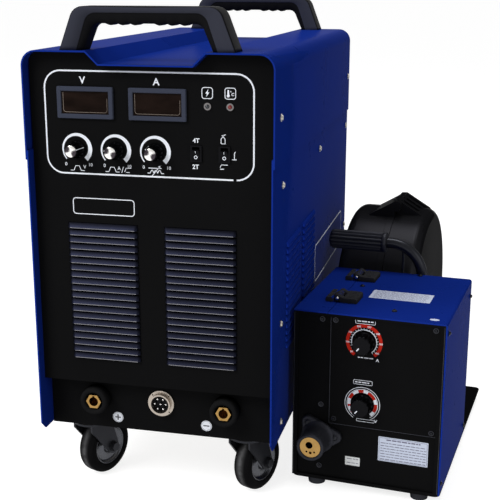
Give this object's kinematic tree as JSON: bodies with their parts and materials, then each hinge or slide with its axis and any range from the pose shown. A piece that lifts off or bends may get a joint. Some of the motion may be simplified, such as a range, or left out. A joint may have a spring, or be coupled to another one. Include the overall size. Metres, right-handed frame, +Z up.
{
  "type": "mig welder",
  "caption": "MIG welding power source: upright blue cabinet on casters with a black control front and carry handles, beside a separate wire feeder with a round spool cover.",
  "frame": {"origin": "on the floor, under the middle of the whole set's bounding box", "axes": "+Z up, +Y from the control panel towards the rear, +X towards the feeder"},
  "size_m": [0.5903, 0.6707, 0.668],
  "materials": {
    "blue_paint": "gloss",
    "black_paint": "fine texture",
    "zinc": "zinc plated",
    "steel": "machined",
    "fork_grey": "zinc grey",
    "aluminium": "extruded",
    "brass": "turned",
    "black_plastic": "moulded",
    "gloss_black": "moulded",
    "bezel_grey": "moulded",
    "red_window": "tinted",
    "chrome": "polished",
    "tyre": "smooth",
    "rubber": "moulded",
    "white_print": "printed",
    "sticker": "metallised film"
  },
  "bodies": {
    "power_source": {"chassis_tray": "zinc", "hood": "blue_paint", "left_panel": "blue_paint", "right_panel": "blue_paint", "front_panel": "black_paint", "connector_panel": "black_paint", "rear_panel": "black_paint", "carry_handles": "black_plastic", "cover_screws": "zinc", "meter_bezels": "bezel_grey", "meter_lenses": "red_window", "indicator_lamps": "chrome", "rocker_frames": "gloss_black", "socket_collars": "black_plastic", "socket_inserts": "brass", "control_socket": "chrome", "control_insert": "black_plastic", "power_block": "aluminium", "breaker_body": "black_plastic", "mains_gland": "black_plastic", "caster_plates": "zinc", "rear_brackets": "fork_grey", "caster_bolts": "zinc"},
    "feeder": {"feeder_tray": "black_paint", "feeder_feet": "rubber", "feeder_front": "black_paint", "control_plate": "black_paint", "feeder_cover": "blue_paint", "feeder_screws": "zinc", "flap_hinges": "black_plastic", "handle_tube": "black_paint", "handle_grip": "rubber", "torch_flange": "black_plastic", "torch_nose": "brass", "spool_shell": "gloss_black", "spool_axle": "steel", "feed_plate": "aluminium", "gear_motor": "black_paint"},
    "fan_rotor": {"fan_rotor": "black_plastic"},
    "knob_left": {"knob_left": "black_plastic"},
    "knob_middle": {"knob_middle": "black_plastic"},
    "knob_right": {"knob_right": "black_plastic"},
    "rocker_step": {"rocker_step": "gloss_black"},
    "rocker_gas": {"rocker_gas": "gloss_black"},
    "breaker_toggle": {"breaker_toggle": "black_plastic"},
    "front_left_fork": {"front_left_fork": "fork_grey"},
    "front_right_fork": {"front_right_fork": "fork_grey"},
    "front_left_wheel": {"front_left_wheel": "tyre"},
    "front_right_wheel": {"front_right_wheel": "tyre"},
    "rear_left_wheel": {"rear_left_wheel": "tyre"},
    "rear_right_wheel": {"rear_right_wheel": "tyre"},
    "top_flap": {"top_flap": "blue_paint"},
    "amps_knob": {"amps_knob": "black_plastic"},
    "volts_knob": {"volts_knob": "black_plastic"},
    "spool_lid": {"spool_lid": "gloss_black"},
    "spool_hub": {"spool_hub": "black_plastic"},
    "feed_roll": {"feed_roll": "steel"},
    "pressure_arm": {"pressure_arm": "steel"},
    "pressure_roll": {"pressure_roll": "steel"},
    "tension_knob": {"tension_knob": "black_plastic"}
  },
  "joints": [
    {"name": "front_left_swivel", "type": "hinge", "parent": "power_source", "child": "front_left_fork", "pos_m": [-0.24255, -0.2594, 0.087], "axis": [0, 0, 1], "continuous": true},
    {"name": "front_left_wheel_spin", "type": "hinge", "parent": "front_left_fork", "child": "front_left_wheel", "pos_m": [-0.23396, -0.23915, 0.042], "axis": [-0.9205, 0.3907, 0], "continuous": true},
    {"name": "front_right_swivel", "type": "hinge", "parent": "power_source", "child": "front_right_fork", "pos_m": [-0.01256, -0.2594, 0.087], "axis": [0, 0, 1], "continuous": true},
    {"name": "front_right_wheel_spin", "type": "hinge", "parent": "front_right_fork", "child": "front_right_wheel", "pos_m": [-0.00396, -0.23915, 0.042], "axis": [-0.9205, 0.3907, 0], "continuous": true},
    {"name": "rear_left_wheel_spin", "type": "hinge", "parent": "power_source", "child": "rear_left_wheel", "pos_m": [-0.24255, 0.2376, 0.042], "axis": [1, 0, 0], "continuous": true},
    {"name": "rear_right_wheel_spin", "type": "hinge", "parent": "power_source", "child": "rear_right_wheel", "pos_m": [-0.01256, 0.2376, 0.042], "axis": [1, 0, 0], "continuous": true},
    {"name": "left_knob_turn", "type": "hinge", "parent": "power_source", "child": "knob_left", "pos_m": [-0.22706, -0.3124, 0.488], "axis": [0, -1, 0], "range_deg": [-150, 150]},
    {"name": "middle_knob_turn", "type": "hinge", "parent": "power_source", "child": "knob_middle", "pos_m": [-0.17405, -0.3124, 0.488], "axis": [0, -1, 0], "range_deg": [-150, 150]},
    {"name": "right_knob_turn", "type": "hinge", "parent": "power_source", "child": "knob_right", "pos_m": [-0.12105, -0.3124, 0.488], "axis": [0, -1, 0], "range_deg": [-150, 150]},
    {"name": "rocker_step_tilt", "type": "hinge", "parent": "power_source", "child": "rocker_step", "pos_m": [-0.06706, -0.3079, 0.488], "axis": [1, 0, 0], "range_deg": [-24, 0]},
    {"name": "rocker_gas_tilt", "type": "hinge", "parent": "power_source", "child": "rocker_gas", "pos_m": [-0.03005, -0.3079, 0.488], "axis": [1, 0, 0], "range_deg": [-24, 0]},
    {"name": "breaker_throw", "type": "hinge", "parent": "power_source", "child": "breaker_toggle", "pos_m": [-0.03256, 0.2926, 0.184], "axis": [1, 0, 0], "range_deg": [-50, 0]},
    {"name": "fan_spin", "type": "hinge", "parent": "power_source", "child": "fan_rotor", "pos_m": [-0.12756, 0.2716, 0.404], "axis": [0, 1, 0], "continuous": true},
    {"name": "feeder_lift", "type": "slide", "parent": "power_source", "child": "feeder", "axis": [0, 0, 1], "range_m": [0, 0.7]},
    {"name": "flap_swing", "type": "hinge", "parent": "feeder", "child": "top_flap", "pos_m": [0.10285, -0.11185, 0.269], "axis": [0.1045, 0.9945, 0], "range_deg": [0, 110]},
    {"name": "amps_knob_turn", "type": "hinge", "parent": "feeder", "child": "amps_knob", "pos_m": [0.14176, -0.22956, 0.226], "axis": [-0.1045, -0.9945, 0], "range_deg": [-150, 150]},
    {"name": "volts_knob_turn", "type": "hinge", "parent": "feeder", "child": "volts_knob", "pos_m": [0.14176, -0.22956, 0.136], "axis": [-0.1045, -0.9945, 0], "range_deg": [-150, 150]},
    {"name": "spool_lid_swing", "type": "hinge", "parent": "feeder", "child": "spool_lid", "pos_m": [0.14818, 0.17599, 0.337], "axis": [-0.1045, -0.9945, 0], "range_deg": [0, 95]},
    {"name": "spool_hub_spin", "type": "hinge", "parent": "feeder", "child": "spool_hub", "pos_m": [0.12531, 0.1784, 0.172], "axis": [0.9945, -0.1045, 0], "continuous": true},
    {"name": "feed_roll_spin", "type": "hinge", "parent": "feeder", "child": "feed_roll", "pos_m": [0.09542, -0.12514, 0.068], "axis": [0.9945, -0.1045, 0], "continuous": true},
    {"name": "pressure_arm_swing", "type": "hinge", "parent": "feeder", "child": "pressure_arm", "pos_m": [0.08274, -0.07353, 0.11], "axis": [-0.9945, 0.1045, 0], "range_deg": [0, 40]},
    {"name": "pressure_roll_spin", "type": "hinge", "parent": "pressure_arm", "child": "pressure_roll", "pos_m": [0.09542, -0.12514, 0.098], "axis": [0.9945, -0.1045, 0], "continuous": true},
    {"name": "tension_knob_turn", "type": "hinge", "parent": "pressure_arm", "child": "tension_knob", "pos_m": [0.07354, -0.16105, 0.11], "axis": [0, 0, 1], "range_deg": [-540, 540]}
  ],
  "couplings": [
    {"joint": "pressure_roll_spin", "follows": "feed_roll_spin", "ratio": -1}
  ]
}
